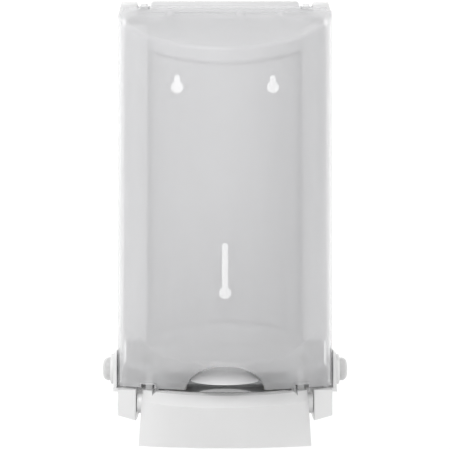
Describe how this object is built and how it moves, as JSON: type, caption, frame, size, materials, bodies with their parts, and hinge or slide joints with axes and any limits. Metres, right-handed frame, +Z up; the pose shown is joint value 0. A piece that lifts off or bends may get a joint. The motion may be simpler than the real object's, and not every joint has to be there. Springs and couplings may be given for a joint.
{
  "type": "wall mounted soap dispenser",
  "caption": "Wall-mounted soap dispenser with a frosted half-round swing-up cover, keyhole wall plate, side release buttons and a wide push lever on sprung pivots.",
  "frame": {"origin": "on the wall face of the back plate, on the middle line, 149.4 mm above the plate's lower edge", "axes": "+X to the viewer's right, -Y out of the wall towards the user, +Z up"},
  "size_m": [0.1898, 0.1087, 0.3448],
  "materials": {
    "white_body": "white moulded plastic with a fine satin texture",
    "frosted_cover": "frosted see-through plastic, satin outside",
    "tray_plastic": "pale grey moulded plastic",
    "collar_plastic": "mid grey moulded plastic",
    "bush_plastic": "natural acetal",
    "polished_steel": "ground steel pin",
    "spring_steel": "drawn spring wire",
    "zinc_screws": "zinc plated screw",
    "bumper_rubber": "black rubber"
  },
  "bodies": {
    "chassis": {"back_plate": "white_body", "base_housing": "white_body", "button_bezel_left": "white_body", "button_bezel_right": "white_body", "button_retainer_left": "collar_plastic", "button_retainer_right": "collar_plastic", "button_spring_left": "spring_steel", "button_spring_right": "spring_steel", "guide_rod_left": "polished_steel", "guide_rod_right": "polished_steel", "hinge_bracket_left": "white_body", "hinge_bracket_right": "white_body", "hinge_pin_left": "polished_steel", "hinge_pin_right": "polished_steel", "housing_screws": "zinc_screws", "lever_pin_left": "polished_steel", "lever_pin_right": "polished_steel", "neck_collar": "collar_plastic", "nozzle_shroud": "tray_plastic", "refill_tray": "tray_plastic", "rod_clips": "spring_steel", "shroud_screws": "zinc_screws", "stop_bumpers": "bumper_rubber", "yoke_spring_left": "spring_steel", "yoke_spring_right": "spring_steel"},
    "cover_shell": {"cover": "frosted_cover"},
    "lever": {"push_lever": "white_body", "lever_bush_left": "bush_plastic", "lever_bush_right": "bush_plastic", "drive_pin_left": "polished_steel", "drive_pin_right": "polished_steel"},
    "yoke": {"pump_yoke": "collar_plastic", "yoke_bush_left": "bush_plastic", "yoke_bush_right": "bush_plastic"},
    "left_button": {"button_left": "frosted_cover"},
    "right_button": {"button_right": "frosted_cover"}
  },
  "joints": [
    {"name": "cover_hinge", "type": "hinge", "parent": "chassis", "child": "cover_shell", "pos_m": [0, -0.0135, 0.17], "axis": [-1, 0, 0], "range_deg": [0, 100]},
    {"name": "lever_push", "type": "hinge", "parent": "chassis", "child": "lever", "pos_m": [0, -0.044, -0.136], "axis": [1, 0, 0], "range_deg": [0, 15], "stiffness_Nm_per_rad": 0.8, "springref_deg": -20.05},
    {"name": "yoke_slide", "type": "slide", "parent": "chassis", "child": "yoke", "axis": [0, 0, 1], "range_m": [0, 0.0057], "deforming": ["yoke_spring_left", "yoke_spring_right"]},
    {"name": "left_button_press", "type": "slide", "parent": "chassis", "child": "left_button", "axis": [1, 0, 0], "range_m": [0, 0.0022], "stiffness_N_per_m": 400, "springref_m": -0.003},
    {"name": "right_button_press", "type": "slide", "parent": "chassis", "child": "right_button", "axis": [-1, 0, 0], "range_m": [0, 0.0022], "stiffness_N_per_m": 400, "springref_m": -0.003}
  ],
  "couplings": [
    {"joint": "yoke_slide", "follows": "lever_push", "m_per_rad": 0.02138}
  ]
}
